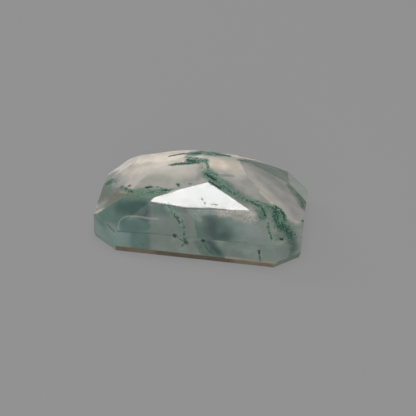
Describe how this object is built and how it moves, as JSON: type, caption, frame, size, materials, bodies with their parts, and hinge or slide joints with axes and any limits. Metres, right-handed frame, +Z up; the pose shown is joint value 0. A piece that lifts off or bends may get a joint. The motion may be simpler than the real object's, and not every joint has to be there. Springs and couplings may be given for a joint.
{
  "type": "rose cut moss agate",
  "caption": "Loose rose cut moss agate with a flat base, a short upright wall and a low faceted dome, to set in a bezel or lay on a surface.",
  "frame": {"origin": "middle of the outline, on the flat base", "axes": "+X along the stone's length, +Y towards its back, +Z up out of the base"},
  "size_m": [0.012, 0.0074, 0.0042],
  "materials": {
    "moss_agate": "polished milky translucent stone, pale beige above and blue-green below, with dark green moss-like veins"
  },
  "bodies": {
    "root": {"cut_stone": "moss_agate"}
  },
  "joints": []
}
